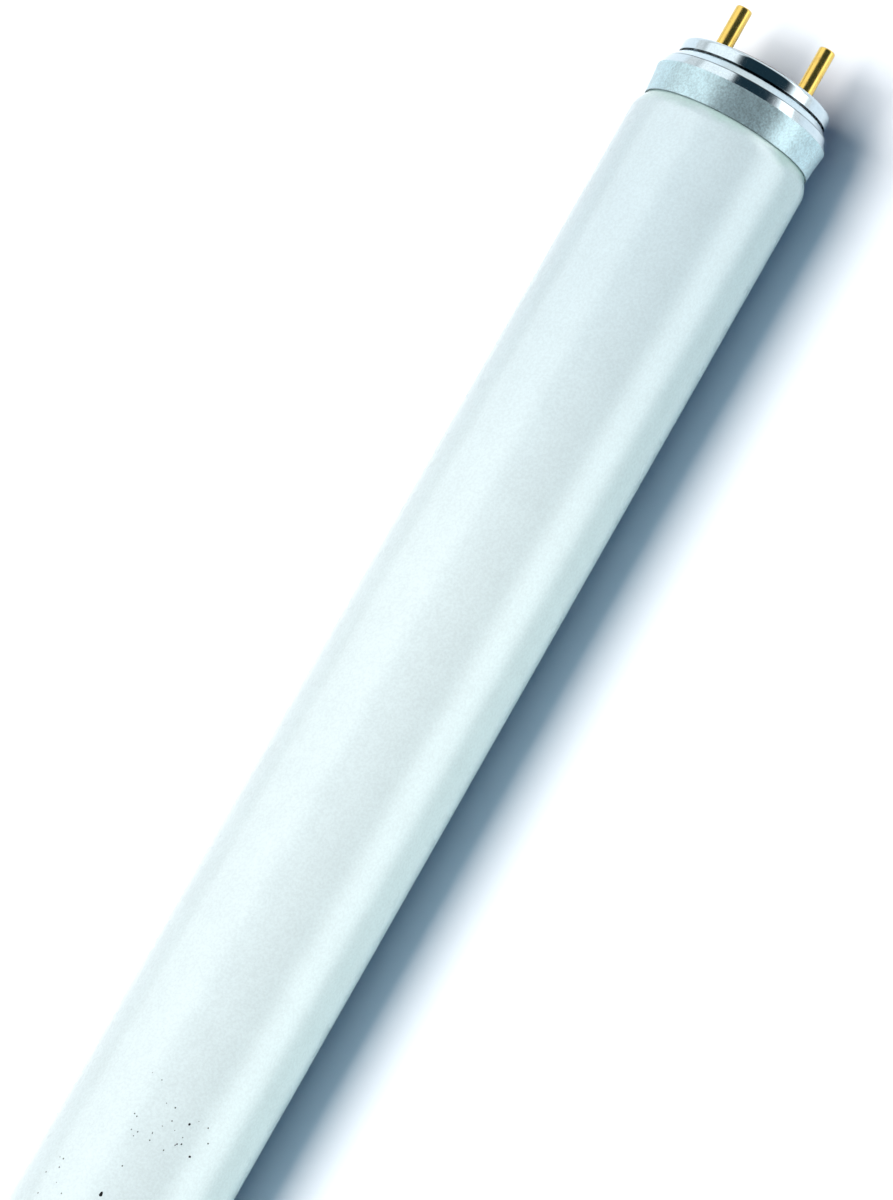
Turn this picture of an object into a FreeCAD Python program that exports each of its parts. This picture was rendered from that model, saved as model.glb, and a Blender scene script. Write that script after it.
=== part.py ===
# A straight double-ended fluorescent lamp: a sealed glass tube with a bi-pin cap on each end.
# The tube's axis is X, the pins of each cap lie along Y, and the origin is the middle of the tube.
# Each cap is drawn in its own frame: x = 0 at the skirt's open edge, +X out towards the pin tips.
import FreeCAD
import Part
import Sketcher
import math
import os

os.makedirs("parts", exist_ok=True)
doc = FreeCAD.newDocument("FluorescentLamp")

# Driving sizes in millimetres, each written once.
SIZES = [
    ("tube_diameter", 26.0, "outside of the glass"),
    ("face_span", 589.0, "cap face to cap face"),
    ("glass_wall", 0.7, "wall of the tube"),
    ("neck_drop", 1.1, "how far the glass steps in at each end"),
    ("neck_run", 3.8, "length of that step, a double bend"),
    ("neck_outside", 2.7, "part of the step that shows in front of the skirt"),
    ("neck_length", 2.4, "straight neck inside the skirt"),
    ("seal_width", 1.5, "thickness of the fused end, where tube and stem meet"),
    ("seal_round", 0.6, "rounding of the fused end"),
    ("stem_diameter", 10.2, "outside of the stem tube"),
    ("stem_wall", 0.8, "wall of the stem tube and its flare"),
    ("flare_run", 9.0, "length of the flare from the fused end to the stem"),
    ("stem_depth", 16.0, "bottom of the stem's hollow, behind the skirt's edge"),
    ("press_length", 6.0, "glass pressed shut round the wires"),
    ("press_diameter", 7.0, "inner tip of the pressed glass"),
    ("exhaust_diameter", 4.0, "pump tube in the stem"),
    ("exhaust_wall", 0.8, "wall of the pump tube"),
    ("exhaust_reach", 2.2, "straight end of the pump tube past the skirt's edge"),
    ("exhaust_tip", 1.8, "melted tip of the pump tube"),
    ("shell_wall", 0.3, "sheet of the cap"),
    ("cement_thickness", 0.2, "gap between the glass neck and the skirt"),
    ("lip_length", 2.1, "lower half of the skirt, drawn in towards the glass"),
    ("lip_wall", 0.15, "sheet thinned at the skirt's edge"),
    ("lip_gap", 0.05, "that edge to the glass"),
    ("skirt_length", 4.25, "edge of the skirt to the shoulder"),
    ("skirt_flare", 0.26, "how much the skirt's upper half widens"),
    ("low_shoulder_rise", 1.5, "steep slope above the skirt"),
    ("low_shoulder_drop", 0.6, "its step inwards"),
    ("high_shoulder_rise", 1.27, "flat slope up to the groove"),
    ("high_shoulder_drop", 1.11, "its step inwards"),
    ("groove_width", 0.16, "rolled groove under the crown"),
    ("groove_depth", 0.2, "that groove below the shoulder"),
    ("crown_swell", 0.35, "how far the crown stands out of the groove"),
    ("plate_thickness", 1.25, "flange of the insulating plate"),
    ("rim_width", 1.7, "rim turned in over the plate"),
    ("shoulder_round", 0.25, "rounding of the shoulder's edge"),
    ("crown_round", 0.1, "rounding of the crown above the groove"),
    ("rim_round", 0.55, "bend of the turned-in rim"),
    ("boss_proud", 0.4, "plate's face above the rim"),
    ("plate_clearance", 0.05, "plate to the shell round it"),
    ("boss_round", 0.2, "rounding of the plate's face"),
    ("pin_spacing", 12.7, "pin to pin"),
    ("pin_diameter", 2.35, "contact pin"),
    ("pin_length", 7.5, "pin above the plate's face"),
    ("pin_wall", 0.4, "drawn brass of the pin"),
    ("pin_tip_round", 0.3, "rounding of the pin's tip"),
    ("pin_clearance", 0.05, "pin to its hole"),
    ("flange_diameter", 4.2, "pin's flange under the plate"),
    ("flange_thickness", 0.4, "that flange"),
    ("collar_diameter", 3.1, "pin staked over the plate's face"),
    ("collar_height", 0.6, "that collar"),
    ("collar_round", 0.2, "rounding of that collar"),
    ("wire_diameter", 0.5, "lead wire"),
    ("wire_clearance", 0.02, "wire to the hole in the pin's tip"),
    ("wire_offset", 3.2, "wire from the axis inside the stem"),
    ("wire_bend_start", -2.5, "where the wire leaves the stem's line"),
    ("wire_bend_end", 4.5, "where the wire reaches the pin's line"),
]

sheet = doc.addObject("Spreadsheet::Sheet", "Sizes")
for row, (alias, value, note) in enumerate(SIZES, start=1):
    sheet.set(f"A{row}", str(value))
    sheet.setAlias(f"A{row}", alias)
    sheet.set(f"B{row}", note)
doc.recompute()

# Sizes that several pieces share, as expressions on the sheet.
TUBE_R = "Sizes.tube_diameter / 2"
NECK_R = f"{TUBE_R} - Sizes.neck_drop"
SKIRT_IN_R = f"{NECK_R} + Sizes.cement_thickness"
SKIRT_R = f"{SKIRT_IN_R} + Sizes.shell_wall"
CORNER_R = f"{SKIRT_R} + Sizes.skirt_flare"
LOW_SHOULDER_R = f"{CORNER_R} - Sizes.low_shoulder_drop"
HIGH_SHOULDER_R = f"{LOW_SHOULDER_R} - Sizes.high_shoulder_drop"
GROOVE_R = f"{HIGH_SHOULDER_R} - Sizes.groove_depth"
CROWN_R = f"{GROOVE_R} + Sizes.crown_swell"
CROWN_IN_R = f"{CROWN_R} - Sizes.shell_wall"
OPENING_R = f"{CROWN_R} - Sizes.rim_width"
LOW_SHOULDER_X = "Sizes.skirt_length + Sizes.low_shoulder_rise"
GROOVE_X = f"{LOW_SHOULDER_X} + Sizes.high_shoulder_rise"
SEAT_X = f"{GROOVE_X} + Sizes.groove_width + Sizes.shell_wall"
RIM_IN_X = f"{SEAT_X} + Sizes.plate_thickness"
RIM_X = f"{RIM_IN_X} + Sizes.shell_wall"
FACE_X = f"{RIM_X} + Sizes.boss_proud"
TIP_X = f"{FACE_X} + Sizes.pin_length"
EDGE_FROM_MIDDLE = f"Sizes.face_span / 2 - ({FACE_X})"
NECK_END = "Sizes.neck_run - Sizes.neck_outside"
NECK_BEND_R = "((Sizes.neck_run ^ 2 + Sizes.neck_drop ^ 2) / (4 * Sizes.neck_drop))"
GLASS_AT_EDGE = f"{NECK_R} + {NECK_BEND_R} - sqrt({NECK_BEND_R} ^ 2 - ({NECK_END}) ^ 2)"
LIP_IN_R = f"{GLASS_AT_EDGE} + Sizes.lip_gap"
SEAL_X = f"{NECK_END} + Sizes.neck_length + Sizes.seal_round"
STEM_R = "Sizes.stem_diameter / 2"
STEM_IN_R = f"{STEM_R} - Sizes.stem_wall"


def measure(expression):
    return float(sheet.evalExpression(expression))


def start_body(label):
    body = doc.addObject("PartDesign::Body", label)
    body.Label = label
    return body


def start_sketch(body, name, role):
    sketch = body.newObject("Sketcher::SketchObject", name)
    plane = next(item for item in body.Origin.OriginFeatures if item.Role == role)
    sketch.AttachmentSupport = [(plane, "")]
    sketch.MapMode = "FlatFace"
    return sketch


def drive(sketch, kind, where, expression):
    # One dimension of the sketch, tied to the sheet.
    index = sketch.addConstraint(Sketcher.Constraint(kind, *where, measure(expression)))
    sketch.setExpression(f"Constraints[{index}]", expression)


def place_point(sketch, geometry, end, x_size, y_size):
    # A point on a sketch axis is tied to that axis, any other point to its distance from the origin.
    if x_size == "0":
        sketch.addConstraint(Sketcher.Constraint("PointOnObject", geometry, end, -2))
    else:
        drive(sketch, "DistanceX", (-1, 1, geometry, end), x_size)
    if y_size == "0":
        sketch.addConstraint(Sketcher.Constraint("PointOnObject", geometry, end, -1))
    else:
        drive(sketch, "DistanceY", (-1, 1, geometry, end), y_size)


def draw_arc(start, end, radius, turn):
    # turn is 1 for an arc that bends to the left of its way, -1 for one that bends to the right.
    along = end - start
    half = along.Length / 2
    away = math.sqrt(max(radius * radius - half * half, 0.0))
    side = FreeCAD.Vector(-along.y, along.x, 0).normalize() * turn
    centre = (start + end) * 0.5 + side * away
    circle = Part.Circle(centre, FreeCAD.Vector(0, 0, 1), radius)
    first, last = (start, end) if turn > 0 else (end, start)
    return Part.ArcOfCircle(circle, circle.parameter(first), circle.parameter(last))


def draw_path(sketch, corners, closed):
    # corners: (x, y) ends a straight run, (x, y, radius, turn) ends an arc. All are expressions.
    points = [FreeCAD.Vector(measure(corner[0]), measure(corner[1]), 0) for corner in corners]
    runs = range(len(corners)) if closed else range(1, len(corners))
    ends = []
    for index in runs:
        corner = corners[index]
        start, end = points[index - 1], points[index]
        if len(corner) == 2:
            geometry = sketch.addGeometry(Part.LineSegment(start, end), False)
            ends.append((geometry, 1, 2))
            continue
        turn = corner[3]
        geometry = sketch.addGeometry(draw_arc(start, end, measure(corner[2]), turn), False)
        ends.append((geometry, 1, 2) if turn > 0 else (geometry, 2, 1))
        drive(sketch, "Radius", (geometry,), corner[2])
    for place, index in enumerate(runs):
        geometry, first, last = ends[place]
        place_point(sketch, geometry, last, corners[index][0], corners[index][1])
        if closed or place > 0:
            before = ends[place - 1]
            sketch.addConstraint(Sketcher.Constraint("Coincident", before[0], before[2], geometry, first))
        else:
            place_point(sketch, geometry, first, corners[0][0], corners[0][1])


def double_bend(start, end, turn):
    # Two equal arcs that leave and arrive along X, meeting half way.
    run = f"(({end[0]}) - ({start[0]}))"
    step = f"abs(({end[1]}) - ({start[1]}))"
    radius = f"({run} ^ 2 + {step} ^ 2) / (4 * {step})"
    middle_x = f"(({start[0]}) + ({end[0]})) / 2"
    middle_y = f"(({start[1]}) + ({end[1]})) / 2"
    return [(middle_x, middle_y, radius, turn), (end[0], end[1], radius, -turn)]


def turn_solid(body, name, corners, kind="PartDesign::Revolution"):
    # A section drawn beside the X axis and turned once round it, added or cut away.
    sketch = start_sketch(body, f"{name}Section", "XY_Plane")
    draw_path(sketch, corners, closed=True)
    turned = body.newObject(kind, name)
    turned.Profile = sketch
    turned.ReferenceAxis = (sketch, ["H_Axis"])
    turned.Angle = 360
    sketch.Visibility = False
    doc.recompute()
    return turned


def round_edges(body, feature, name, size, circles):
    # Round the turned edges that lie at the given distances along and from the axis.
    wanted = [(measure(x_size), measure(r_size)) for x_size, r_size in circles]
    picked = []
    for number, edge in enumerate(feature.Shape.Edges, start=1):
        if not isinstance(edge.Curve, Part.Circle):
            continue
        for x_value, r_value in wanted:
            along = abs(edge.Curve.Center.x - x_value)
            across = abs(edge.Curve.Radius - r_value)
            if along < 1e-4 and across < 1e-4:
                picked.append(f"Edge{number}")
    if len(picked) < len(circles):
        raise RuntimeError(f"{body.Label}: an edge to round is missing")
    rounded = body.newObject("PartDesign::Fillet", name)
    rounded.Base = (feature, picked)
    rounded.setExpression("Radius", f"Sizes.{size}")
    doc.recompute()
    return rounded


def place_at_end(body, side, along, across="0", roll=0):
    # side is 1 for the +X end and -1 for the -X end, which is the same end turned half round Z.
    turn = FreeCAD.Rotation(FreeCAD.Vector(0, 0, 1), 0 if side > 0 else 180)
    spin = FreeCAD.Rotation(FreeCAD.Vector(1, 0, 0), roll)
    body.Placement = FreeCAD.Placement(FreeCAD.Vector(0, 0, 0), turn.multiply(spin))
    body.setExpression("Placement.Base.x", f"{side} * ({EDGE_FROM_MIDDLE} + ({along}))")
    if across != "0":
        body.setExpression("Placement.Base.y", across)


def make_glass_tube():
    # Half of the bulb is turned and hollowed, then mirrored, so both ends are alike.
    body = start_body("glass_tube")

    def at(distance):
        return f"{EDGE_FROM_MIDDLE} + ({distance})"

    mouth_r = f"{NECK_R} - Sizes.seal_width"
    flare_end = f"{SEAL_X} - Sizes.flare_run"
    exhaust_r = "Sizes.exhaust_diameter / 2"
    tip_start = "Sizes.exhaust_reach"
    tip_end = "Sizes.exhaust_reach + Sizes.exhaust_tip"
    neck_start = (at("-Sizes.neck_outside"), TUBE_R)
    neck_end = (at(NECK_END), NECK_R)
    outside = [("0", "0"), ("0", TUBE_R), neck_start]
    outside += double_bend(neck_start, neck_end, -1)
    outside += [(at(SEAL_X), NECK_R), (at(SEAL_X), mouth_r)]
    outside += double_bend((at(SEAL_X), mouth_r), (at(flare_end), STEM_IN_R), 1)
    outside += [(at("-Sizes.stem_depth"), STEM_IN_R), (at("-Sizes.stem_depth"), exhaust_r)]
    outside += [(at(tip_start), exhaust_r), (at(tip_end), "0")]
    blank = turn_solid(body, "BlownTube", outside)

    in_r = f"{TUBE_R} - Sizes.glass_wall"
    neck_in_r = f"{NECK_R} - Sizes.glass_wall"
    bore_r = f"{exhaust_r} - Sizes.exhaust_wall"
    press_x = "-Sizes.stem_depth - Sizes.stem_wall"
    press_tip = f"{press_x} - Sizes.press_length"
    inner_start = (at("-Sizes.neck_outside"), in_r)
    inner_end = (at(NECK_END), neck_in_r)
    fold_x = f"{SEAL_X} - Sizes.seal_width"
    fold_r = f"{neck_in_r} - Sizes.glass_wall / 2"
    inner_flare_end = f"{flare_end} - Sizes.stem_wall"
    hollow = [("0", "0"), ("0", in_r), inner_start]
    hollow += double_bend(inner_start, inner_end, -1)
    hollow += [(at(fold_x), neck_in_r), (at(fold_x), fold_r)]
    hollow += double_bend((at(fold_x), fold_r), (at(inner_flare_end), STEM_R), 1)
    hollow += [(at(press_x), STEM_R), (at(press_tip), "Sizes.press_diameter / 2")]
    hollow += [(at(press_tip), bore_r), (at(tip_start), bore_r)]
    hollow += [(at(f"{tip_end} - Sizes.exhaust_wall"), "0")]
    gas_space = turn_solid(body, "GasSpace", hollow, "PartDesign::Groove")

    mirrored = body.newObject("PartDesign::Mirrored", "OtherEnd")
    middle = next(item for item in body.Origin.OriginFeatures if item.Role == "YZ_Plane")
    mirrored.Originals = [blank, gas_space]
    mirrored.MirrorPlane = (middle, [""])
    body.Tip = mirrored
    doc.recompute()
    if abs(mirrored.Shape.Volume / gas_space.Shape.Volume - 2) > 0.001:
        raise RuntimeError("the far end of the glass is missing")
    fused_edges = []
    for direction in (1, -1):
        fused_x = f"{direction} * ({at(SEAL_X)})"
        fused_edges += [(fused_x, NECK_R), (fused_x, mouth_r)]
    round_edges(body, mirrored, "FusedEnds", "seal_round", fused_edges)
    return body


def make_cap_shell(side, end):
    # Drawn sheet: flared skirt, two-slope shoulder, groove, crown and the rim turned in over the plate.
    body = start_body(f"{end}_cap_shell")
    wall = "Sizes.shell_wall"
    outer = [
        ("0", f"{LIP_IN_R} + Sizes.lip_wall"),
        ("Sizes.lip_length", SKIRT_R),
        ("Sizes.skirt_length", CORNER_R),
        (LOW_SHOULDER_X, LOW_SHOULDER_R),
        (GROOVE_X, HIGH_SHOULDER_R),
        (GROOVE_X, GROOVE_R),
        (f"{GROOVE_X} + Sizes.groove_width", GROOVE_R),
        (f"{GROOVE_X} + Sizes.groove_width", CROWN_R),
        (RIM_X, CROWN_R),
    ]
    inner = [
        (RIM_X, OPENING_R),
        (RIM_IN_X, OPENING_R),
        (RIM_IN_X, CROWN_IN_R),
        (SEAT_X, CROWN_IN_R),
        (SEAT_X, f"{GROOVE_R} - {wall}"),
        (GROOVE_X, f"{GROOVE_R} - {wall}"),
        (LOW_SHOULDER_X, f"{LOW_SHOULDER_R} - {wall}"),
        ("Sizes.skirt_length", f"{CORNER_R} - {wall}"),
        ("Sizes.lip_length", SKIRT_IN_R),
        ("0", LIP_IN_R),
    ]
    shell = turn_solid(body, "DrawnShell", outer + inner)
    shell = round_edges(body, shell, "ShoulderBend", "shoulder_round", [("Sizes.skirt_length", CORNER_R)])
    shell = round_edges(
        body, shell, "CrownEdge", "crown_round", [(f"{GROOVE_X} + Sizes.groove_width", CROWN_R)]
    )
    round_edges(body, shell, "RimBend", "rim_round", [(RIM_X, CROWN_R)])
    place_at_end(body, side, "0")
    return body


def make_insulating_plate(side, end):
    # Moulded plate: its flange sits between the groove and the rim, its boss fills the opening.
    body = start_body(f"{end}_insulating_plate")
    flange_r = f"{CROWN_IN_R} - Sizes.plate_clearance"
    boss_r = f"{OPENING_R} - Sizes.plate_clearance"
    section = [
        (SEAT_X, "0"),
        (SEAT_X, flange_r),
        (RIM_IN_X, flange_r),
        (RIM_IN_X, boss_r),
        (FACE_X, boss_r),
        (FACE_X, "0"),
    ]
    plate = turn_solid(body, "MouldedPlate", section)
    round_edges(body, plate, "BossEdge", "boss_round", [(FACE_X, boss_r)])
    holes = start_sketch(body, "PinHoles", "YZ_Plane")
    for direction in (1, -1):
        centre = FreeCAD.Vector(direction * measure("Sizes.pin_spacing / 2"), 0, 0)
        hole_r = "Sizes.pin_diameter / 2 + Sizes.pin_clearance"
        circle = holes.addGeometry(Part.Circle(centre, FreeCAD.Vector(0, 0, 1), measure(hole_r)), False)
        drive(holes, "Radius", (circle,), hole_r)
        place_point(holes, circle, 3, f"{direction} * Sizes.pin_spacing / 2", "0")
    drilled = body.newObject("PartDesign::Pocket", "PinHolesCut")
    drilled.Profile = holes
    drilled.Type = "ThroughAll"
    drilled.Midplane = True
    holes.Visibility = False
    doc.recompute()
    place_at_end(body, side, "0")
    return body


def make_cement_ring(side, end):
    # Hard cement fills the gap between the straight neck and the flared half of the skirt.
    body = start_body(f"{end}_cement_ring")
    cement_start = f"max(Sizes.lip_length; {NECK_END})"
    cement_end = f"{NECK_END} + Sizes.neck_length"
    flare_slope = "Sizes.skirt_flare / (Sizes.skirt_length - Sizes.lip_length)"
    section = [
        (cement_start, NECK_R),
        (cement_start, f"{SKIRT_IN_R} + {flare_slope} * ({cement_start} - Sizes.lip_length)"),
        (cement_end, f"{SKIRT_IN_R} + {flare_slope} * ({cement_end} - Sizes.lip_length)"),
        (cement_end, NECK_R),
    ]
    turn_solid(body, "CementRing", section)
    place_at_end(body, side, "0")
    return body


def make_pin(side, end, direction, place):
    # Drawn brass pin, drawn from the plate's face: flange below, staked collar and hollow shank above.
    body = start_body(f"{end}_{place}_pin")
    pin_r = "Sizes.pin_diameter / 2"
    bore_r = f"{pin_r} - Sizes.pin_wall"
    hole_r = "Sizes.wire_diameter / 2 + Sizes.wire_clearance"
    under = f"{SEAT_X} - ({FACE_X})"
    bottom = f"{under} - Sizes.flange_thickness"
    bore_end = "Sizes.pin_length - Sizes.pin_wall"
    section = [
        (bottom, bore_r),
        (bottom, "Sizes.flange_diameter / 2"),
        (under, "Sizes.flange_diameter / 2"),
        (under, pin_r),
        ("0", pin_r),
        ("0", "Sizes.collar_diameter / 2"),
        ("Sizes.collar_height", "Sizes.collar_diameter / 2"),
        ("Sizes.collar_height", pin_r),
        ("Sizes.pin_length", pin_r),
        ("Sizes.pin_length", hole_r),
        (bore_end, hole_r),
        (bore_end, bore_r),
    ]
    pin = turn_solid(body, "DrawnPin", section)
    collar_edge = ("Sizes.collar_height", "Sizes.collar_diameter / 2")
    pin = round_edges(body, pin, "StakedCollar", "collar_round", [collar_edge])
    round_edges(body, pin, "PinTip", "pin_tip_round", [("Sizes.pin_length", pin_r)])
    place_at_end(body, side, FACE_X, f"{direction} * Sizes.pin_spacing / 2")
    return body


def make_lead_wire(side, end, direction, place):
    # Wire from the pressed glass up the stem, over to the pin and through it to the tip.
    body = start_body(f"{end}_{place}_lead_wire")
    bend_start = ("Sizes.wire_bend_start", "Sizes.wire_offset")
    bend_end = ("Sizes.wire_bend_end", "Sizes.pin_spacing / 2")
    corners = [("-Sizes.stem_depth", "Sizes.wire_offset"), bend_start]
    corners += double_bend(bend_start, bend_end, 1)
    corners += [(TIP_X, "Sizes.pin_spacing / 2")]
    path = start_sketch(body, "WirePath", "XY_Plane")
    draw_path(path, corners, closed=False)
    section = start_sketch(body, "WireSection", "YZ_Plane")
    section.setExpression("AttachmentOffset.Base.z", "-Sizes.stem_depth")
    centre = FreeCAD.Vector(measure("Sizes.wire_offset"), 0, 0)
    wire_r = "Sizes.wire_diameter / 2"
    circle = section.addGeometry(Part.Circle(centre, FreeCAD.Vector(0, 0, 1), measure(wire_r)), False)
    drive(section, "Radius", (circle,), wire_r)
    place_point(section, circle, 3, "Sizes.wire_offset", "0")
    doc.recompute()
    swept = body.newObject("PartDesign::AdditivePipe", "DrawnWire")
    swept.Profile = section
    swept.Spine = path
    path.Visibility = False
    section.Visibility = False
    doc.recompute()
    place_at_end(body, side, "0", roll=0 if side * direction > 0 else 180)
    return body


lamp = [make_glass_tube()]
for side, end in ((1, "right"), (-1, "left")):
    lamp.append(make_cap_shell(side, end))
    lamp.append(make_insulating_plate(side, end))
    lamp.append(make_cement_ring(side, end))
    for direction, place in ((-1, "front"), (1, "back")):
        lamp.append(make_pin(side, end, direction, place))
        lamp.append(make_lead_wire(side, end, direction, place))
doc.recompute()

for item in doc.Objects:
    if "Invalid" in item.State or "Error" in item.State:
        raise RuntimeError(f"{item.Label} did not rebuild: {item.State}")
for body in lamp:
    if body.Shape.isNull() or not body.Shape.isValid() or len(body.Shape.Solids) != 1:
        raise RuntimeError(f"{body.Label} is not one valid solid")
for body in lamp:
    body.Shape.exportStep(f"parts/{body.Label}.step")
    print(body.Label, round(body.Shape.Volume, 2))
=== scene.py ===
import bpy, bmesh, math, random
from mathutils import Matrix, Vector


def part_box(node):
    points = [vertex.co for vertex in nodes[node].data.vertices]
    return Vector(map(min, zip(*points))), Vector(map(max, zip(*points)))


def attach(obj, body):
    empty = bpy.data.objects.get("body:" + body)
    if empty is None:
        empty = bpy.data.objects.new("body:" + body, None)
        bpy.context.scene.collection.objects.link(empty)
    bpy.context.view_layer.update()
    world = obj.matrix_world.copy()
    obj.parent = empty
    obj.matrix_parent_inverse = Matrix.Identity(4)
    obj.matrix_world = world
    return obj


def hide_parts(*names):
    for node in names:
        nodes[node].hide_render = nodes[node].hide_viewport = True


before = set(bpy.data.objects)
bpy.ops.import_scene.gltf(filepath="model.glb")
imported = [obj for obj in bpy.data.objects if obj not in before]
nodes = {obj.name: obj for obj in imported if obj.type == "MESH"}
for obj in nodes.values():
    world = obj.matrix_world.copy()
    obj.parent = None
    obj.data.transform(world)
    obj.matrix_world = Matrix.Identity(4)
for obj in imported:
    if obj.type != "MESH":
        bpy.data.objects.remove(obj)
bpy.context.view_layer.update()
scene = bpy.context.scene
mm = 0.001
print("frame loaded:", len(nodes), "nodes")


# small helpers for meshes
def placeMesh(name, mesh, smooth=False):
    data = bpy.data.meshes.new(name)
    mesh.to_mesh(data)
    mesh.free()
    for polygon in data.polygons:
        polygon.use_smooth = smooth
    piece = bpy.data.objects.new(name, data)
    scene.collection.objects.link(piece)
    return piece


def circle(steps):
    turns = [2 * math.pi * k / steps for k in range(steps)]
    return [(math.cos(a), math.sin(a)) for a in turns]


# small helpers for shader trees
def newMaterial(name):
    material = bpy.data.materials.new(name)
    material.use_nodes = True
    tree = material.node_tree
    tree.nodes.clear()
    out = tree.nodes.new("ShaderNodeOutputMaterial")
    return material, tree, out


def addNode(tree, kind, inputs=None, **settings):
    node = tree.nodes.new(kind)
    for key, value in settings.items():
        setattr(node, key, value)
    for key, value in (inputs or {}).items():
        feed(tree, node.inputs[key], value)
    return node


def feed(tree, socket, value):
    if isinstance(value, bpy.types.NodeSocket):
        tree.links.new(value, socket)
    else:
        socket.default_value = value


def calc(tree, operation, *values):
    node = tree.nodes.new("ShaderNodeMath")
    node.operation = operation
    for socket, value in zip(node.inputs, values):
        feed(tree, socket, value)
    return node.outputs[0]


def fade(tree, value, start, end, low=0.0, high=1.0):
    node = addNode(tree, "ShaderNodeMapRange", {
        "Value": value, "From Min": start, "From Max": end, "To Min": low, "To Max": high,
    }, interpolation_type="SMOOTHSTEP")
    return node.outputs["Result"]


def spread(tree, noise, levels):
    return fade(tree, noise, 0.3, 0.7, *levels)  # where most of a noise lies


def blendColour(tree, amount, first, second, kind="MIX"):
    node = addNode(tree, "ShaderNodeMix", {"Factor": amount, 6: first, 7: second},
                   data_type="RGBA", blend_type=kind)
    return node.outputs[2]


def shadeBy(tree, colour, level):
    return blendColour(tree, 1.0, colour, level, "MULTIPLY")


def objectPoint(tree):
    return addNode(tree, "ShaderNodeTexCoord").outputs["Object"]


def alongLamp(tree, place):
    # distance from the middle of the lamp, the same at both ends
    return calc(tree, "ABSOLUTE", addNode(tree, "ShaderNodeSeparateXYZ", {0: place}).outputs[0])


def grain(tree, place, scale, detail=2.0, rough=0.5):
    node = addNode(tree, "ShaderNodeTexNoise", {
        "Vector": place, "Scale": scale, "Detail": detail, "Roughness": rough})
    return node.outputs["Fac"]


def stretch(tree, place, scale):
    node = addNode(tree, "ShaderNodeVectorMath", {0: place, 1: scale}, operation="MULTIPLY")
    return node.outputs["Vector"]


def streaks(tree, place, scale, detail=2.0, rough=0.5):
    return grain(tree, stretch(tree, place, scale), 1.0, detail, rough)


def bump(tree, height, strength, distance, under=None):
    node = addNode(tree, "ShaderNodeBump", {"Height": height, "Strength": strength, "Distance": distance})
    if under is not None:
        feed(tree, node.inputs["Normal"], under)
    return node.outputs["Normal"]


def surface(tree, out, inputs):
    shader = addNode(tree, "ShaderNodeBsdfPrincipled", inputs)
    feed(tree, out.inputs["Surface"], shader.outputs[0])


def rgb(r, g, b):
    return (r, g, b, 1.0)


white = rgb(1, 1, 1)


def dress(nodeName, material):
    node = nodes[nodeName]
    node.data.materials.clear()
    node.data.materials.append(material)


# camera: long lens, tube's pin end a little farther away, rolled so the pins' plane leans
cameraSetup = {
    "distance": 3.5,          # m, from the aim point
    "lens": 793.0, "sensor": 36.0,
    "clip": (0.1, 50.0),
    "recede": 11.3,           # degrees, tube's axis out of the picture plane
    "roll": 13.5,             # degrees, round the tube's axis
    "slant": 60.35,           # degrees, tube's axis in the picture
    "aimAlong": 211.9 * mm,
    "aimAcross": -1.77 * mm,
}


def viewAxes():
    t = math.radians(cameraSetup["recede"])
    r = math.radians(cameraSetup["roll"])
    a = math.radians(cameraSetup["slant"])
    back = Vector((-math.sin(t), -math.cos(t) * math.sin(r), math.cos(t) * math.cos(r)))
    across = Vector((0, -math.cos(r), -math.sin(r)))
    along = (Vector((1, 0, 0)) + math.sin(t) * back) / math.cos(t)
    right = math.cos(a) * along + math.sin(a) * across
    up = math.sin(a) * along - math.cos(a) * across
    return right, up, back, across


def addCamera():
    c = cameraSetup
    right, up, back, across = viewAxes()
    data = bpy.data.cameras.new("photoCamera")
    data.lens = c["lens"]
    data.sensor_width = c["sensor"]
    data.clip_start, data.clip_end = c["clip"]
    camera = bpy.data.objects.new("photoCamera", data)
    scene.collection.objects.link(camera)
    aim = Vector((c["aimAlong"], 0, 0)) + c["aimAcross"] * across
    turn = Matrix((right, up, back)).transposed().to_4x4()
    camera.matrix_world = Matrix.Translation(aim + c["distance"] * back) @ turn
    scene.camera = camera


addCamera()
scene.view_settings.view_transform = "Standard"
print("camera placed")

# glass: one lathe of the tube, its necks, fused ends, hollow stems and pump tubes
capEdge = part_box("right_cap_shell")[0].x   # where the skirt ends, from the middle of the lamp
glassTube = {
    "turns": 160,             # steps round
    "rings": 15, "ringGap": 20 * mm,       # along the straight half
    "bendSteps": 10, "sealSteps": 6, "flareSteps": 12, "tipSteps": 6,
    "sharpFrom": 50,          # degrees between faces
    "radius": 13.0 * mm,
    "neckRadius": 11.9 * mm,
    "neckFrom": -2.7 * mm,    # these run along the lamp, from the skirt's edge
    "neckTo": 1.1 * mm,
    "sealEnd": 4.1 * mm,
    "flareEnd": -4.9 * mm,
    "stemBottom": -16.0 * mm,
    "pumpReach": 2.2 * mm,
    "sealRound": 0.6 * mm,
    "sealWidth": 1.5 * mm,
    "stemHollow": 4.3 * mm,
    "pumpRadius": 2.0 * mm,
    "pumpTip": 1.8 * mm,
}


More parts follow.
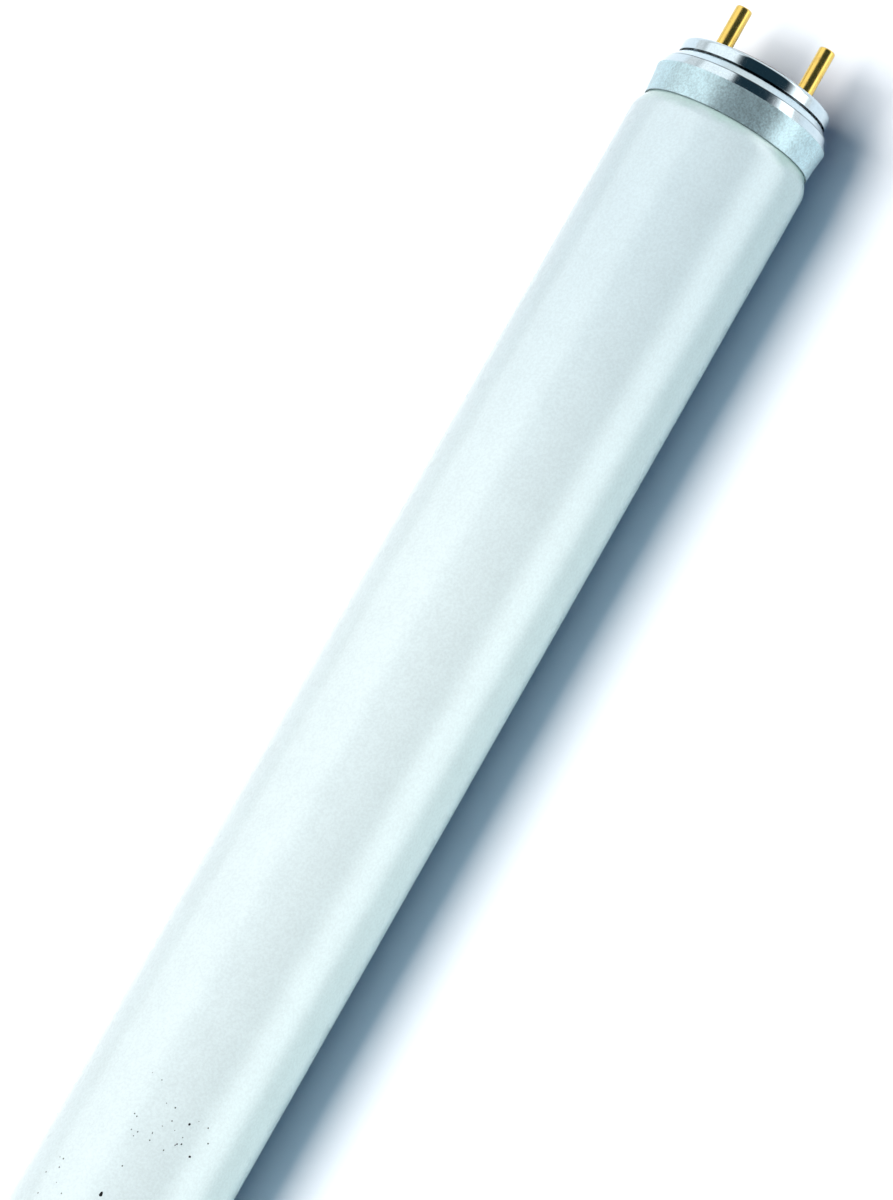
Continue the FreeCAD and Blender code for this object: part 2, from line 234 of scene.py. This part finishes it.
def glassProfile():
    g = glassTube
    run, step = g["neckTo"] - g["neckFrom"], g["radius"] - g["neckRadius"]
    bendRadius = (run * run + step * step) / (4 * step)
    sweep = math.asin(run / 2 / bendRadius)
    line = [(k * g["ringGap"] - capEdge, g["radius"]) for k in range(g["rings"])]
    steps = g["bendSteps"]
    for i in range(steps + 1):  # shoulder of the neck, turning in
        a = sweep * i / steps
        line.append((g["neckFrom"] + bendRadius * math.sin(a),
                     g["radius"] - bendRadius * (1 - math.cos(a))))
    for i in range(steps - 1, -1, -1):  # and back to straight
        a = sweep * i / steps
        line.append((g["neckTo"] - bendRadius * math.sin(a),
                     g["neckRadius"] + bendRadius * (1 - math.cos(a))))
    s = g["sealRound"]
    for i in range(g["sealSteps"] + 1):  # fused end, outer round
        a = math.pi / 2 * i / g["sealSteps"]
        line.append((g["sealEnd"] - s + s * math.sin(a), g["neckRadius"] - s + s * math.cos(a)))
    inner = g["neckRadius"] - g["sealWidth"]
    for i in range(g["flareSteps"] + 1):  # flare from the fused end down to the stem
        a = math.pi / 2 * i / g["flareSteps"]
        line.append((g["sealEnd"] - (g["sealEnd"] - g["flareEnd"]) * math.sin(a),
                     g["stemHollow"] + (inner - g["stemHollow"]) * math.cos(a)))
    line.append((g["stemBottom"], g["stemHollow"]))
    line.append((g["stemBottom"], g["pumpRadius"]))
    line.append((g["pumpReach"], g["pumpRadius"]))
    for i in range(1, g["tipSteps"]):  # melted tip of the pump tube
        a = math.pi / 2 * i / g["tipSteps"]
        line.append((g["pumpReach"] + g["pumpTip"] * math.sin(a), g["pumpRadius"] * math.cos(a)))
    return [(capEdge + x, r) for x, r in line]


def turnGlass():
    g = glassTube
    half = glassProfile()
    tip = capEdge + g["pumpReach"] + g["pumpTip"]
    profile = [(-x, r) for x, r in reversed(half[1:])] + half
    mesh = bmesh.new()
    around = circle(g["turns"])
    rings = [[mesh.verts.new((x, r * c, r * s)) for c, s in around] for x, r in profile]
    for first, second in zip(rings, rings[1:]):
        for k in range(g["turns"]):
            mesh.faces.new((first[k], first[k - 1], second[k - 1], second[k]))
    for ring, x in ((rings[0], -tip), (rings[-1], tip)):
        top = mesh.verts.new((x, 0, 0))
        for k in range(g["turns"]):
            mesh.faces.new((ring[k - 1], ring[k], top) if x < 0 else (ring[k], ring[k - 1], top))
    bmesh.ops.recalc_face_normals(mesh, faces=mesh.faces[:])
    piece = placeMesh("glassTubeBlown", mesh, smooth=True)
    piece.data.set_sharp_from_angle(angle=math.radians(g["sharpFrom"]))
    return piece


# noises are scale, detail and roughness; bumps are strength and distance, here and below
coatedGlass = {
    "powder": rgb(0.74, 0.86, 0.885),     # white inner coating seen through the glass
    "nearCap": rgb(0.62, 0.75, 0.80),     # greyer towards the electrodes
    "neckShade": rgb(0.46, 0.66, 0.62),    # painted shade of the cap: darker and greener at the neck, by the skirt's edge
    "neckShadeShare": 0.8,
    "greyFrom": 205 * mm, "greyTo": 275 * mm,   # from the middle of the lamp
    "neckFrom": capEdge - 1.9 * mm, "neckTo": capEdge + 0.2 * mm,
    "stray": 4 * mm,                      # how far these borders wander
    "grain": (2600, 3.0, 0.65), "grainLevels": (0.94, 1.03), "grainBump": (0.03, 0.03 * mm),
    "cloud": (160, 4.0, 0.6), "cloudLevels": (0.975, 1.015),
    "waves": (45, 1.0), "waveBump": (0.02, 0.2 * mm),
    "rough": (0.25, 0.31), "ior": 1.12,
    "coatRough": 0.24, "coatIor": 1.5,
}


def makeCoatedGlass():
    c = coatedGlass
    material, tree, out = newMaterial("coatedGlass")
    place = objectPoint(tree)
    fine = grain(tree, place, *c["grain"])
    cloud = grain(tree, place, *c["cloud"])
    stray = calc(tree, "MULTIPLY_ADD", cloud, c["stray"], -c["stray"] / 2)
    along = calc(tree, "ADD", alongLamp(tree, place), stray)
    grey = fade(tree, along, c["greyFrom"], c["greyTo"])
    # painted shade of the cap on the glass at the neck, by the skirt's edge
    neckShadeMask = fade(tree, along, c["neckFrom"], c["neckTo"], 0.0, c["neckShadeShare"])
    colour = blendColour(tree, grey, c["powder"], c["nearCap"])
    colour = blendColour(tree, neckShadeMask, colour, c["neckShade"])
    colour = shadeBy(tree, colour, spread(tree, fine, c["grainLevels"]))
    colour = shadeBy(tree, colour, fade(tree, cloud, 0.25, 0.75, *c["cloudLevels"]))
    waves = bump(tree, grain(tree, place, *c["waves"]), *c["waveBump"])
    surface(tree, out, {
        "Base Color": colour, "Roughness": spread(tree, cloud, c["rough"]), "IOR": c["ior"],
        "Coat Weight": 1.0, "Coat Roughness": c["coatRough"], "Coat IOR": c["coatIor"],
        "Normal": bump(tree, fine, *c["grainBump"], waves)})
    return material


glassPiece = turnGlass()
glassPiece.data.materials.append(makeCoatedGlass())
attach(glassPiece, "root")
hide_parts("glass_tube")
print("glass turned:", len(glassPiece.data.polygons), "faces")

# specks of dirt stuck to the glass
glassSpecks = {
    "seed": 41,
    "big": (                      # mm along, degrees round, half length and half width in mm
        (117.4, -11.5, 0.36, 0.24),
        (131.3, 13.1, 0.20, 0.18),
        (127.7, 23.1, 0.20, 0.17),
    ),
    "groups": (                   # how many, mm along, degrees round, spread of both
        (24, 129.0, 4.0, 4.5, 16.0),
        (8, 117.0, -48.0, 2.0, 12.0),
    ),
    "smallSize": (0.06, 0.13),    # mm, half length
    "smallWidth": (0.7, 1.0),     # of its length
    "sides": 9, "ragged": (0.75, 1.2),
    "height": 0.05 * mm, "sunk": 0.02 * mm,
    "soot": rgb(0.010, 0.010, 0.012), "dust": rgb(0.04, 0.045, 0.045),
    "crumbs": (9000, 3.0, 0.7), "crumbBump": (0.4, 0.02 * mm),
    "clumps": (400, 2.0), "clumpLevels": (0.7, 1.3),
    "rough": (0.75, 0.95), "shine": 0.1,
}


def speckSpots(dice):
    p = glassSpecks
    spots = list(p["big"])
    for count, x, turn, spreadX, spreadTurn in p["groups"]:
        for i in range(count):
            size = dice.uniform(*p["smallSize"])
            spots.append((dice.gauss(x, spreadX), dice.gauss(turn, spreadTurn),
                          size, size * dice.uniform(*p["smallWidth"])))
    return spots


def addSpecks():
    p = glassSpecks
    radius = glassTube["radius"]
    across = viewAxes()[3]
    facing = across.cross(Vector((1, 0, 0)))   # straight up from the axis as the photo sees the tube
    around = circle(p["sides"])
    layers = ((1.0, -p["sunk"]), (0.95, p["height"] * 0.35), (0.6, p["height"] * 0.85))   # size, lift
    dice = random.Random(p["seed"])
    mesh = bmesh.new()
    for x, turn, long, wide in speckSpots(dice):
        ridges = [dice.uniform(*p["ragged"]) for k in range(p["sides"])]
        rings = []
        for grow, lift in layers:
            ring = []
            for (c, s), ridge in zip(around, ridges):
                along = x * mm + c * long * mm * ridge * grow
                swing = math.radians(turn) + s * wide * mm * ridge * grow / radius
                out = (radius + lift) * (math.sin(swing) * across + math.cos(swing) * facing)
                ring.append(mesh.verts.new(Vector((along, 0, 0)) + out))
            rings.append(ring)
        for first, second in zip(rings, rings[1:]):
            for k in range(p["sides"]):
                mesh.faces.new((first[k - 1], first[k], second[k], second[k - 1]))
        mesh.faces.new(rings[0])
        mesh.faces.new(rings[-1])
    bmesh.ops.recalc_face_normals(mesh, faces=mesh.faces[:])
    return placeMesh("glassSpecks", mesh, smooth=True)


def makeSpeckDirt():
    p = glassSpecks
    material, tree, out = newMaterial("speckDirt")
    place = objectPoint(tree)
    crumbs = grain(tree, place, *p["crumbs"])
    clumps = grain(tree, place, *p["clumps"])
    colour = blendColour(tree, fade(tree, crumbs, 0.45, 0.8), p["soot"], p["dust"])
    surface(tree, out, {
        "Base Color": shadeBy(tree, colour, spread(tree, clumps, p["clumpLevels"])),
        "Roughness": spread(tree, crumbs, p["rough"]), "Specular IOR Level": p["shine"],
        "Normal": bump(tree, crumbs, *p["crumbBump"])})
    return material


speckPiece = addSpecks()
speckPiece.data.materials.append(makeSpeckDirt())
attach(speckPiece, "root")
print("specks set:", len(speckPiece.data.polygons), "faces")

# caps: one drawn shell, satin on the skirt and bright from the shoulder up
capAluminium = {
    "satin": rgb(0.48, 0.65, 0.70),
    "bright": rgb(0.57, 0.67, 0.72),
    "slope": rgb(0.60, 0.72, 0.77),       # painted reflection: lighter between bend and groove
    # painted shade in the creases and at the seam: groove, bend and lip
    "paintedShade": rgb(0.03, 0.04, 0.045),
    "shoulder": capEdge + 4.3 * mm, "shoulderSoft": 0.05 * mm,
    "slopeRing": (capEdge + 6.425 * mm, 0.525 * mm, 0.1 * mm),   # middle, half width, soft edge
    "paintedShadeRings": (                       # the same, and how dark the painted shade is
        (capEdge + 7.1 * mm, 0.08 * mm, 0.06 * mm, 1.0),         # groove
        (capEdge + 5.75 * mm, 0.02 * mm, 0.10 * mm, 0.75),       # bend
        (capEdge, 0.04 * mm, 0.08 * mm, 0.7),                    # lip
    ),
    "paintedShadePatches": (0.25, 0.55, 0.55, 1.0),   # mottle from and to, painted shade left from and to
    "fine": (3400, 3.0, 0.7), "fineLevels": (0.78, 1.14),
    "mottle": (700, 4.0, 0.6), "mottleLevels": (0.91, 1.05),
    "turned": ((9000, 300, 300), 2.0), "turnedBump": (0.08, 0.02 * mm),   # fine lines round the cap
    "scuffs": ((500, 2600, 700), 3.0, 0.7), "scuffBump": (0.05, 0.02 * mm),
    "satinRough": (0.29, 0.42), "brightRough": (0.10, 0.20),
    "speckle": (1.0, 0.35),               # these three are for satin and for bright
    "metal": (0.72, 1.0),
    "pressed": (0.35, 0.03), "pressedDepth": 0.04 * mm,
}


def ringLine(tree, along, middle, half, soft):
    # 1 on a ring round the cap, 0 elsewhere
    away = calc(tree, "ABSOLUTE", calc(tree, "SUBTRACT", along, middle))
    return fade(tree, away, half + soft, half)


def makeCapAluminium():
    c = capAluminium
    material, tree, out = newMaterial("capAluminium")
    place = objectPoint(tree)
    along = alongLamp(tree, place)
    fine = grain(tree, place, *c["fine"])
    mottle = grain(tree, place, *c["mottle"])
    turned = streaks(tree, place, *c["turned"])
    scuffs = streaks(tree, place, *c["scuffs"])
    bright = fade(tree, along, c["shoulder"] - c["shoulderSoft"], c["shoulder"] + c["shoulderSoft"])

    def satinToBright(values):
        return fade(tree, bright, 0.0, 1.0, *values)

    colour = blendColour(tree, bright, c["satin"], c["bright"])
    # painted reflection: the ring between bend and groove is made lighter
    colour = blendColour(tree, ringLine(tree, along, *c["slopeRing"]), colour, c["slope"])
    speckle = calc(tree, "MULTIPLY", spread(tree, mottle, c["mottleLevels"]),
                   spread(tree, fine, c["fineLevels"]))
    colour = blendColour(tree, satinToBright(c["speckle"]), colour, speckle, "MULTIPLY")
    # painted shade darkening the groove, the bend and the lip, broken up by the mottle
    paintedShadeMask = 0.0
    for middle, half, soft, dark in c["paintedShadeRings"]:
        line = calc(tree, "MULTIPLY", ringLine(tree, along, middle, half, soft), dark)
        paintedShadeMask = calc(tree, "MAXIMUM", paintedShadeMask, line)
    paintedShadeMask = calc(tree, "MULTIPLY", paintedShadeMask, fade(tree, mottle, *c["paintedShadePatches"]))
    colour = blendColour(tree, paintedShadeMask, colour, c["paintedShade"])
    satinRough = spread(tree, fine, c["satinRough"])
    brightRough = fade(tree, scuffs, 0.45, 0.8, *c["brightRough"])
    rough = addNode(tree, "ShaderNodeMix", {"Factor": bright, 2: satinRough, 3: brightRough},
                    data_type="FLOAT")
    lines = bump(tree, turned, *c["turnedBump"])
    pressed = bump(tree, fine, satinToBright(c["pressed"]), c["pressedDepth"], lines)
    surface(tree, out, {
        "Base Color": colour, "Roughness": rough.outputs[0], "Metallic": satinToBright(c["metal"]),
        "Normal": bump(tree, scuffs, *c["scuffBump"], pressed)})
    return material


pinBrass = {
    "brass": rgb(0.78, 0.55, 0.14),
    "tarnish": rgb(0.48, 0.27, 0.07), "tarnishShare": 0.5,
    "drawn": ((250, 7000, 7000), 2.0),    # lines along the pin
    "drawnLevels": (0.93, 1.03), "drawnBump": (0.12, 0.02 * mm),
    "stain": (700, 4.0, 0.6),
    "rough": (0.2, 0.32), "metal": 0.97,
}


def makePinBrass():
    c = pinBrass
    material, tree, out = newMaterial("pinBrass")
    place = objectPoint(tree)
    drawn = streaks(tree, place, *c["drawn"])
    stain = grain(tree, place, *c["stain"])
    tarnish = fade(tree, stain, 0.5, 0.85, 0.0, c["tarnishShare"])
    colour = blendColour(tree, tarnish, c["brass"], c["tarnish"])
    surface(tree, out, {
        "Base Color": shadeBy(tree, colour, spread(tree, drawn, c["drawnLevels"])),
        "Roughness": fade(tree, stain, 0.3, 0.8, *c["rough"]), "Metallic": c["metal"],
        "Normal": bump(tree, drawn, *c["drawnBump"])})
    return material


platePhenolic = {
    "resin": rgb(0.17, 0.105, 0.065),
    "filler": rgb(0.30, 0.20, 0.12), "fillerShare": 0.7,
    "flour": (2200, 4.0, 0.7), "flourBump": (0.2, 0.03 * mm),
    "cloud": (350, 3.0), "cloudLevels": (0.88, 1.08),
    "rough": (0.42, 0.6),
}


def makePlatePhenolic():
    c = platePhenolic
    material, tree, out = newMaterial("platePhenolic")
    place = objectPoint(tree)
    flour = grain(tree, place, *c["flour"])
    cloud = grain(tree, place, *c["cloud"])
    colour = blendColour(tree, fade(tree, flour, 0.5, 0.75, 0.0, c["fillerShare"]), c["resin"], c["filler"])
    surface(tree, out, {
        "Base Color": shadeBy(tree, colour, spread(tree, cloud, c["cloudLevels"])),
        "Roughness": spread(tree, cloud, c["rough"]),
        "Normal": bump(tree, flour, *c["flourBump"])})
    return material


basingCement = {
    "paste": rgb(0.56, 0.48, 0.35), "gritty": rgb(0.36, 0.29, 0.20),
    "grit": (3200, 4.0, 0.7), "gritBump": (0.5, 0.05 * mm),
    "rough": (0.75, 0.95),
}


def makeBasingCement():
    c = basingCement
    material, tree, out = newMaterial("basingCement")
    grit = grain(tree, objectPoint(tree), *c["grit"])
    surface(tree, out, {
        "Base Color": blendColour(tree, fade(tree, grit, 0.4, 0.75), c["paste"], c["gritty"]),
        "Roughness": spread(tree, grit, c["rough"]),
        "Normal": bump(tree, grit, *c["gritBump"])})
    return material


leadWire = {
    "metal": rgb(0.66, 0.62, 0.56), "dull": rgb(0.40, 0.37, 0.34),
    "drawn": ((400, 9000, 9000), 2.0), "drawnBump": (0.15, 0.02 * mm),   # lines along the wire
    "film": (1500, 3.0),
    "rough": (0.28, 0.43),
}


def makeLeadWire():
    c = leadWire
    material, tree, out = newMaterial("leadWire")
    place = objectPoint(tree)
    drawn = streaks(tree, place, *c["drawn"])
    film = grain(tree, place, *c["film"])
    surface(tree, out, {
        "Base Color": blendColour(tree, fade(tree, film, 0.45, 0.75), c["metal"], c["dull"]),
        "Roughness": spread(tree, film, c["rough"]), "Metallic": 1.0,
        "Normal": bump(tree, drawn, *c["drawnBump"])})
    return material


finishes = {
    "cap_shell": makeCapAluminium(),
    "insulating_plate": makePlatePhenolic(),
    "cement_ring": makeBasingCement(),
    "front_pin": makePinBrass(),
    "front_lead_wire": makeLeadWire(),
}
finishes["back_pin"] = finishes["front_pin"]
finishes["back_lead_wire"] = finishes["front_lead_wire"]
for end in ("right", "left"):
    for ending, material in finishes.items():
        dress(f"{end}_{ending}", material)
print("caps, plates, pins and wires dressed")

# floor: real shadow near the lamp, plain white farther out
studioFloor = {
    "height": -13.0 * mm,
    "radius": 3.0,
    "steps": 96,
    "paint": rgb(0.462, 0.525, 0.57),             # its own panels light it up to white
    "bounceLit": rgb(0.30, 0.336, 0.345),         # light it throws back at the lamp
    "bounceShaded": rgb(0.192, 0.336, 0.342),     # cooler on the shadow's side
    "bounceBlend": 20 * mm,                       # to both sides of the lamp's axis
    "shadowReach": (0.52, 0.17),                  # m along and across from the middle, all white beyond
    "whiteFrom": 0.75,                            # of that reach
}


def addFloor():
    f = studioFloor
    mesh = bmesh.new()
    mesh.faces.new([mesh.verts.new((f["radius"] * c, f["radius"] * s, f["height"]))
                    for c, s in circle(f["steps"])])
    floor = placeMesh("studioFloor", mesh)
    material, tree, out = newMaterial("floorPaint")
    place = objectPoint(tree)
    reachX, reachY = f["shadowReach"]
    reach = stretch(tree, place, (1 / reachX, 1 / reachY, 0.0))
    distance = addNode(tree, "ShaderNodeVectorMath", {0: reach}, operation="LENGTH").outputs["Value"]
    far = fade(tree, distance, f["whiteFrom"], 1.0)
    rays = addNode(tree, "ShaderNodeLightPath").outputs
    seen = calc(tree, "MAXIMUM", rays["Is Camera Ray"], rays["Is Glossy Ray"])
    seen = calc(tree, "MAXIMUM", seen, rays["Is Transmission Ray"])
    across = addNode(tree, "ShaderNodeSeparateXYZ", {0: place}).outputs[1]
    side = fade(tree, across, -f["bounceBlend"], f["bounceBlend"])
    bounce = blendColour(tree, side, f["bounceShaded"], f["bounceLit"])
    colour = blendColour(tree, rays["Is Diffuse Ray"], f["paint"], bounce)
    paint = addNode(tree, "ShaderNodeBsdfDiffuse", {"Color": colour})
    plain = addNode(tree, "ShaderNodeEmission", {"Color": white, "Strength": 1.0})
    mix = addNode(tree, "ShaderNodeMixShader", {
        0: calc(tree, "MULTIPLY", far, seen), 1: paint.outputs[0], 2: plain.outputs[0]})
    feed(tree, out.inputs["Surface"], mix.outputs[0])
    floor.data.materials.append(material)
    return floor


floorPiece = addFloor()
print("floor laid")

# lights: one soft panel for the lamp, three for the floor, and four strips that only show as reflections
# angles are from straight up, seen from the lamp, positive to +Y; away, long and shift are in m
lampTop = {
    "from": -66.0, "to": 76.0, "away": 1.2, "long": 4.0, "shift": 0.0,
    "radiance": 1.16, "colour": (1.0, 1.0, 0.99),
}
floorKey = {                # throws the shadow
    "from": 6.0, "to": 34.0, "away": 1.2, "long": 0.62, "shift": -0.05,
    "radiance": 36.8, "colour": (1.0, 0.88, 0.81),
}
floorEdge = {               # lifts the shadow a little from the tube outwards
    "from": -12.0, "to": 6.0, "away": 1.2, "long": 0.62, "shift": -0.05,
    "radiance": 7.2, "colour": (0.72, 0.92, 1.0),
}
floorCool = {               # blue in the shadow
    "from": -80.0, "to": -30.0, "away": 1.0, "long": 4.0, "shift": 0.0,
    "radiance": 0.40, "colour": (0.12, 0.36, 1.0),
}
glassLeft = {"from": 14.0, "to": 96.0, "soft": 16.0, "away": 0.9, "long": 2.2, "radiance": 2.2}
glassRight = {"from": -108.0, "to": -42.0, "soft": 30.0, "away": 0.08, "long": 0.9, "radiance": 5.4}
metalLeft = {"from": 14.0, "to": 90.0, "soft": 16.0, "away": 1.0, "long": 3.6, "radiance": 1.42}
metalRight = {"from": -116.0, "to": -48.0, "soft": 24.0, "away": 1.0, "long": 3.6, "radiance": 2.2}
stripSteps = 24             # round each strip's curve
studioRoom = {
    "fill": rgb(0.006, 0.008, 0.014),
    "overhead": rgb(0.016, 0.040, 0.056),  # dark ceiling that bright metal shows
    "whiteUpTo": 12.0, "darkFrom": 26.0,   # degrees above the floor
}


def onlyFor(name, objects):
    group = bpy.data.collections.new(name)
    for thing in objects:
        group.objects.link(thing)
    return group


def onArc(p, degrees):
    a = math.radians(degrees)
    return Vector((0, p["away"] * math.sin(a), p["away"] * math.cos(a)))


def addPanel(name, p, receivers):
    a, b = onArc(p, p["from"]), onArc(p, p["to"])
    middle, wide = (a + b) / 2, (b - a).length
    data = bpy.data.lights.new(name, "AREA")
    data.shape = "RECTANGLE"
    data.size, data.size_y = p["long"], wide
    data.energy = p["radiance"] * math.pi * p["long"] * wide
    data.color = p["colour"]
    panel = bpy.data.objects.new(name, data)
    scene.collection.objects.link(panel)
    back, side = middle.normalized(), Vector((1, 0, 0))
    turn = Matrix((side, back.cross(side), back)).transposed().to_4x4()
    panel.matrix_world = Matrix.Translation(middle + p["shift"] * side) @ turn
    panel.visible_camera = False
    panel.visible_glossy = False
    panel.light_linking.receiver_collection = receivers


def addStrip(name, p, receivers, seeThrough):
    # curved panel with soft edges, seen by gloss only
    mesh = bmesh.new()
    halfLong = Vector((p["long"] / 2, 0, 0))
    rows = []
    for k in range(stripSteps + 1):
        point = onArc(p, p["from"] + (p["to"] - p["from"]) * k / stripSteps)
        rows.append((mesh.verts.new(point - halfLong), mesh.verts.new(point + halfLong)))
    for first, second in zip(rows, rows[1:]):
        mesh.faces.new((first[0], first[1], second[1], second[0]))
    strip = placeMesh(name, mesh)
    material, tree, out = newMaterial(name)
    axes = addNode(tree, "ShaderNodeSeparateXYZ", {0: objectPoint(tree)})
    angle = calc(tree, "ARCTAN2", axes.outputs[1], axes.outputs[2])
    first, last, soft = (math.radians(p[key]) for key in ("from", "to", "soft"))
    edges = calc(tree, "MULTIPLY", fade(tree, angle, first, first + soft),
                 fade(tree, angle, last, last - soft))
    strength = calc(tree, "MULTIPLY", edges, p["radiance"])
    glow = addNode(tree, "ShaderNodeEmission", {"Color": white, "Strength": strength})
    clear = addNode(tree, "ShaderNodeBsdfTransparent")
    if seeThrough:
        mix = addNode(tree, "ShaderNodeAddShader", {0: clear.outputs[0], 1: glow.outputs[0]})
    else:
        mix = addNode(tree, "ShaderNodeMixShader", {0: edges, 1: clear.outputs[0], 2: glow.outputs[0]})
    feed(tree, out.inputs["Surface"], mix.outputs[0])
    strip.data.materials.append(material)
    strip.visible_camera = False
    strip.visible_diffuse = False
    strip.visible_shadow = False
    strip.light_linking.receiver_collection = receivers


def addWorld():
    s = studioRoom
    world = bpy.data.worlds.new("studioRoom")
    scene.world = world
    world.use_nodes = True
    tree = world.node_tree
    tree.nodes.clear()
    out = tree.nodes.new("ShaderNodeOutputWorld")
    way = addNode(tree, "ShaderNodeTexCoord").outputs["Generated"]
    height = addNode(tree, "ShaderNodeSeparateXYZ", {0: way}).outputs[2]
    low, high = (math.sin(math.radians(s[key])) for key in ("whiteUpTo", "darkFrom"))
    room = blendColour(tree, fade(tree, height, low, high), white, s["overhead"])
    rays = addNode(tree, "ShaderNodeLightPath").outputs
    mirrored = calc(tree, "MAXIMUM", rays["Is Glossy Ray"], rays["Is Transmission Ray"])
    colour = blendColour(tree, mirrored, s["fill"], room)
    colour = blendColour(tree, rays["Is Camera Ray"], colour, white)
    sky = addNode(tree, "ShaderNodeBackground", {"Color": colour, "Strength": 1.0})
    feed(tree, out.inputs["Surface"], sky.outputs[0])


cadPieces = list(nodes.values())
lampOnly = onlyFor("lampOnly", cadPieces + [glassPiece, speckPiece])
glassOnly = onlyFor("glassOnly", [glassPiece, speckPiece])
metalOnly = onlyFor("metalOnly", cadPieces)
floorOnly = onlyFor("floorOnly", [floorPiece])
addPanel("lampTop", lampTop, lampOnly)
addPanel("floorKey", floorKey, floorOnly)
addPanel("floorEdge", floorEdge, floorOnly)
addPanel("floorCool", floorCool, floorOnly)
addStrip("glassLeft", glassLeft, glassOnly, True)
addStrip("glassRight", glassRight, glassOnly, True)
addStrip("metalLeft", metalLeft, metalOnly, False)
addStrip("metalRight", metalRight, metalOnly, False)
addWorld()
print("lights and room set")
